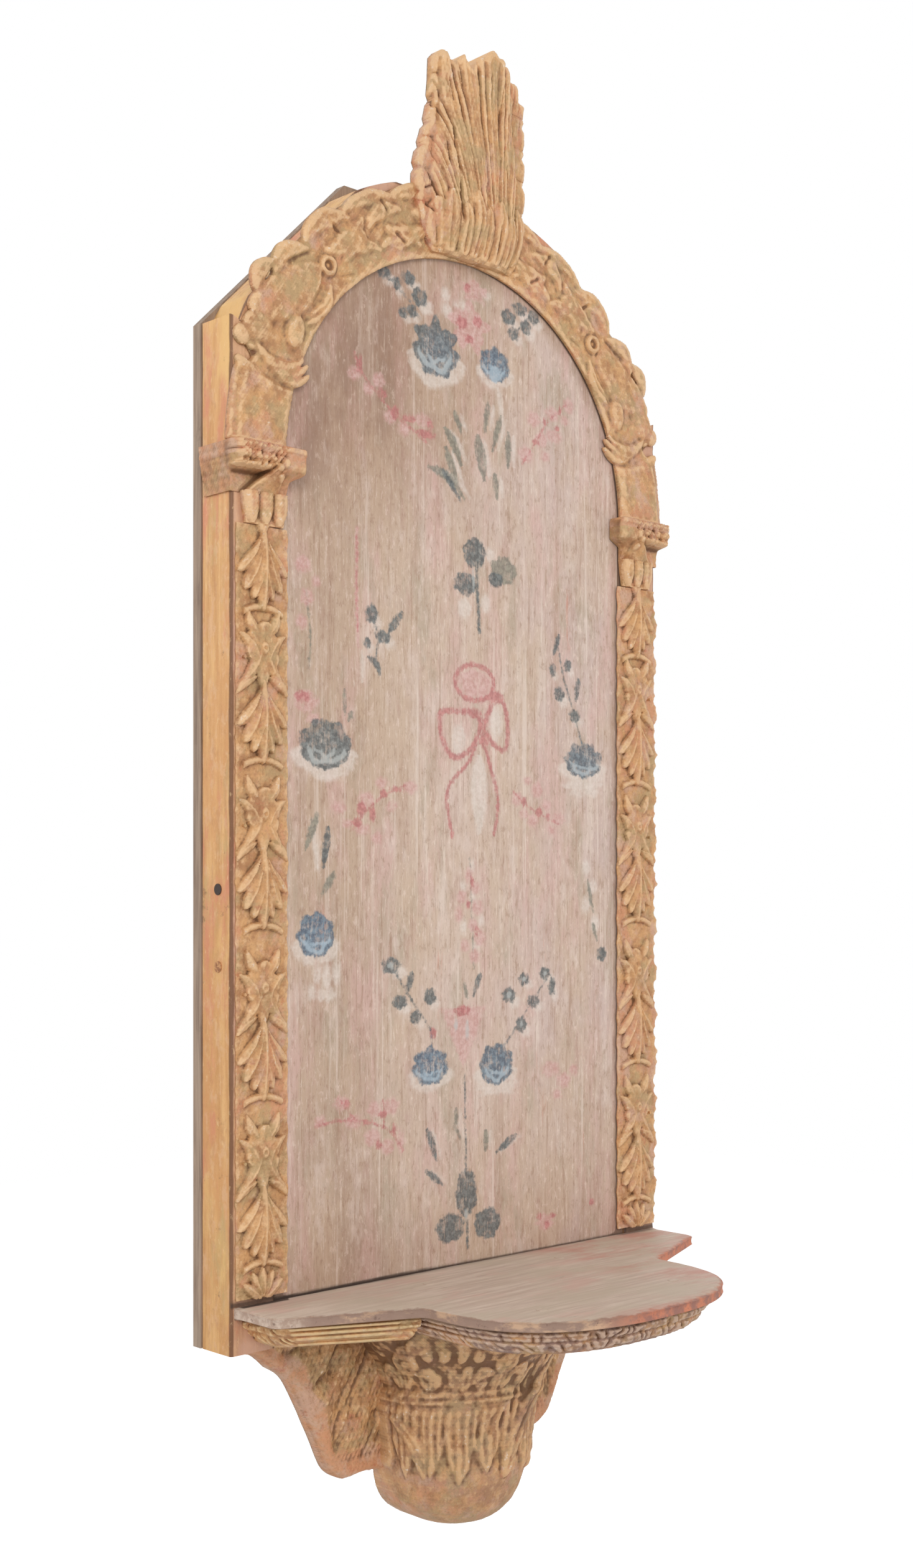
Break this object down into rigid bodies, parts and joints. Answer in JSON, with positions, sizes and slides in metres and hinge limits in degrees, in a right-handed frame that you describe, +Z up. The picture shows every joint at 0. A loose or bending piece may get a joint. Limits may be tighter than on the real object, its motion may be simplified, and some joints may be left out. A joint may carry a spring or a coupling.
{
  "type": "wall console table",
  "caption": "Arched wall console with a painted floral panel, gilt carved surround, plume crest, and a serpentine shelf on a carved corbel.",
  "frame": {"origin": "on the wall plane, on the centre line, at the height of the shelf's top: the middle of the rear planks' back face", "axes": "+X to the right seen from the room, +Y into the wall, -Y into the room, +Z up"},
  "size_m": [0.468, 0.248, 1.141],
  "materials": {
    "gilt_wood": "worn gold leaf over red bole and gesso on carved wood",
    "painted_panel": "worn beige paint with painted flowers, grain showing",
    "painted_shelf": "worn grey-pink paint",
    "bare_wood": "aged bare softwood",
    "iron": "forged, dark"
  },
  "bodies": {
    "root": {"stile_left": "gilt_wood", "stile_right": "gilt_wood", "head_segment_left": "gilt_wood", "head_segment_top": "gilt_wood", "head_segment_right": "gilt_wood", "pilaster_garland_left": "gilt_wood", "pilaster_garland_right": "gilt_wood", "capital_left": "gilt_wood", "capital_right": "gilt_wood", "crest_plume": "gilt_wood", "arch_frieze_left": "gilt_wood", "arch_frieze_right": "gilt_wood", "shelf_moulding_front": "gilt_wood", "shelf_moulding_left": "gilt_wood", "shelf_moulding_right": "gilt_wood", "corbel": "gilt_wood", "apron_wing_left": "gilt_wood", "apron_wing_right": "gilt_wood", "rear_plank_left": "bare_wood", "rear_plank_centre": "bare_wood", "rear_plank_right": "bare_wood", "head_splines": "bare_wood", "bottom_rail": "bare_wood", "rail_pegs": "bare_wood", "panel_batten_lower": "bare_wood", "panel_batten_upper": "bare_wood", "shelf_core": "bare_wood", "bracket_dowels": "bare_wood", "panel_plank_left": "painted_panel", "panel_plank_centre": "painted_panel", "panel_plank_right": "painted_panel", "shelf_board": "painted_shelf", "batten_nails": "iron", "rear_nails": "iron", "hanger_plate_left": "iron", "hanger_plate_right": "iron", "hanger_nails": "iron", "crest_nails": "iron", "carving_brads": "iron", "shelf_nails": "iron", "side_nails": "iron"}
  },
  "joints": []
}
